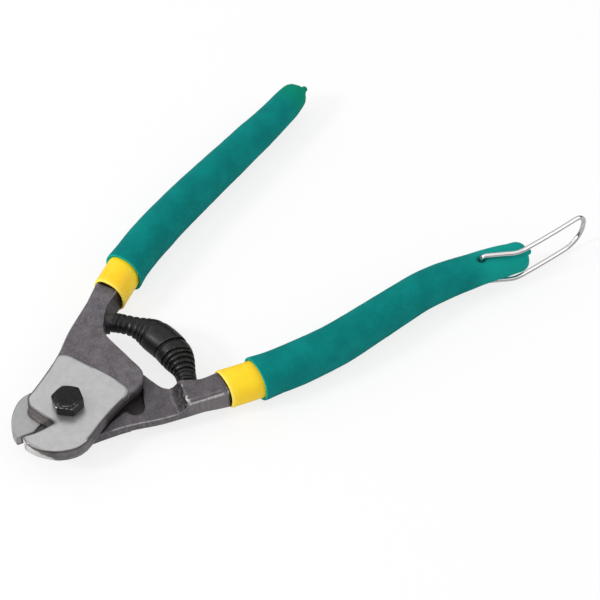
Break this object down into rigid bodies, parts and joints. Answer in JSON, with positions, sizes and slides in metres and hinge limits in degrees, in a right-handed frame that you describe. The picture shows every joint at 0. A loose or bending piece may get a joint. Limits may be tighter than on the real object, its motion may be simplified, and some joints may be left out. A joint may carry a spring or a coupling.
{
  "type": "cable cutter",
  "caption": "Hand cable cutter with hooked lapped jaws on a hexagon bolt, a volute handle spring, foam grips over yellow sleeves and a wire latch bail.",
  "frame": {"origin": "on the pivot bolt's axis, in the plane that the tool rests on", "axes": "+Z along the pivot bolt towards its head; +X along the bisector of the open handles, away from the jaws; the front handle lies on the +Y side"},
  "size_m": [0.215, 0.1315, 0.0174],
  "materials": {
    "forged_steel": "dark forged skin with bright ground faces",
    "black_oxide": "black oxide",
    "spring_steel": "semi-gloss black",
    "yellow_vinyl": "smooth dipped vinyl",
    "green_foam": "matt fine-celled foam",
    "bright_wire": "bright nickel plate"
  },
  "bodies": {
    "rear_half": {"rear_lever": "forged_steel", "pivot_bolt": "black_oxide", "pivot_nut": "black_oxide", "volute_spring": "spring_steel", "rear_sleeve": "yellow_vinyl", "rear_grip": "green_foam"},
    "front_half": {"front_lever": "forged_steel", "front_sleeve": "yellow_vinyl", "front_grip": "green_foam"},
    "latch": {"latch_bail": "bright_wire"}
  },
  "joints": [
    {"name": "main_pivot", "type": "hinge", "parent": "rear_half", "child": "front_half", "pos_m": [0, 0, 0.0087], "axis": [0, 0, 1], "range_deg": [-33, 12], "stiffness_Nm_per_rad": 1.2, "deforming": ["volute_spring"]},
    {"name": "latch_pivot", "type": "hinge", "parent": "rear_half", "child": "latch", "pos_m": [0.1498, -0.05536, 0.0087], "axis": [0, 0, 1], "range_deg": [-75, 100]}
  ]
}
